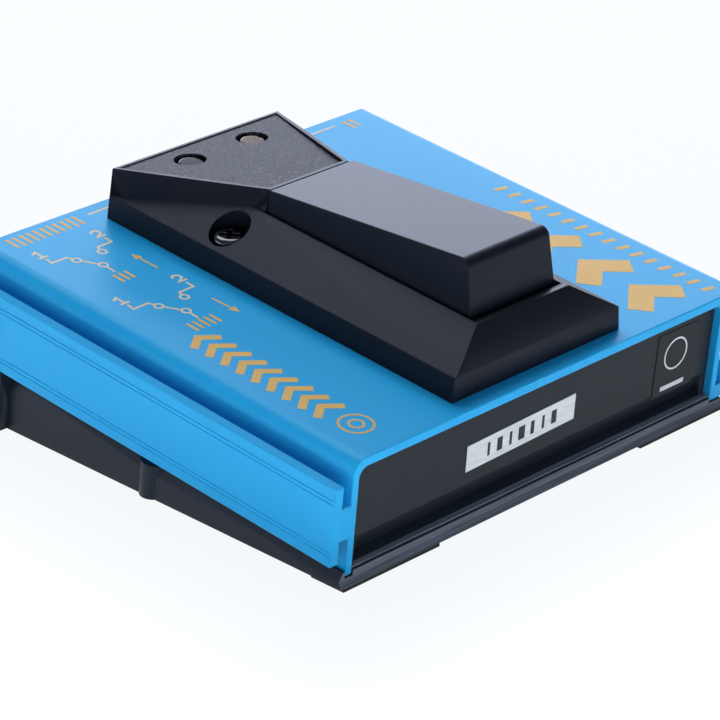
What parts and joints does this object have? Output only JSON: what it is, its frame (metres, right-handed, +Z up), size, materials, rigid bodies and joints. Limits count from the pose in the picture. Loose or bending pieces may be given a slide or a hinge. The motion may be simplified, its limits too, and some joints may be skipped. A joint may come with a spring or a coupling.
{
  "type": "ab switch pedal",
  "caption": "Wedge-based foot selector: blue extruded case with side rails, black raised treadle, indicator lamps behind it, jacks on the far end.",
  "frame": {"origin": "on the floor under the middle of the bounding box", "axes": "+Z up; +Y from the near end, under the toe, to the far end with the jacks; +X to the right as seen from the near end"},
  "size_m": [0.1032, 0.1012, 0.0445],
  "materials": {
    "blue_painted_aluminium": "satin blue paint on an aluminium extrusion",
    "black_moulding": "fine satin black moulded plastic",
    "black_panel": "flat black moulded plastic",
    "grained_sheet": "finely grained black sheet",
    "steel": "plain steel",
    "black_steel": "black zinc plated steel",
    "nickel": "nickel plated brass",
    "jack_plastic": "black moulded jack body with plated bushing",
    "board": "green circuit board",
    "switch_plastic": "black switch body",
    "plunger_plastic": "off-white plunger",
    "lamp_green": "green tinted lamp",
    "lamp_amber": "amber tinted lamp",
    "battery_case": "plain painted steel case",
    "rubber": "black rubber",
    "silver_label": "silver label",
    "black_label": "black label"
  },
  "bodies": {
    "case": {"case_extrusion": "blue_painted_aluminium", "base_moulding": "black_moulding", "end_panel_near": "black_panel", "end_panel_far": "black_panel", "pedal_housing": "black_moulding", "indicator_panel": "grained_sheet", "hinge_pin": "steel", "switch_body": "switch_plastic", "circuit_board": "board", "indicator_board": "board", "led_green": "lamp_green", "led_amber": "lamp_amber", "jack_left": "jack_plastic", "jack_middle": "jack_plastic", "jack_right": "jack_plastic", "serial_label": "silver_label", "small_label": "black_label", "battery": "battery_case", "battery_clip": "black_panel", "foot_near_left": "rubber", "foot_near_right": "rubber", "foot_far_left": "rubber", "foot_far_right": "rubber", "housing_screws": "black_steel", "board_screws": "steel", "jack_washers": "nickel", "jack_nuts": "nickel", "treadle_spring": "steel"},
    "treadle": {"treadle": "black_moulding"},
    "plunger": {"switch_plunger": "plunger_plastic"},
    "door": {"battery_door": "black_moulding"}
  },
  "joints": [
    {"name": "treadle_hinge", "type": "hinge", "parent": "case", "child": "treadle", "pos_m": [0, 0.00549, 0.03403], "axis": [1, 0, 0], "range_deg": [0, 4], "stiffness_Nm_per_rad": 3.3, "springref_deg": -2.41, "deforming": ["treadle_spring"]},
    {"name": "plunger_slide", "type": "slide", "parent": "case", "child": "plunger", "axis": [0, 0.0934, -0.9956], "range_m": [0, 0.00245]},
    {"name": "door_hinge", "type": "hinge", "parent": "case", "child": "door", "pos_m": [-0.0173, -0.01509, 0.0016], "axis": [0, 1, 0], "range_deg": [-95, 0]}
  ],
  "couplings": [
    {"joint": "plunger_slide", "follows": "treadle_hinge", "m_per_rad": 0.0345}
  ]
}
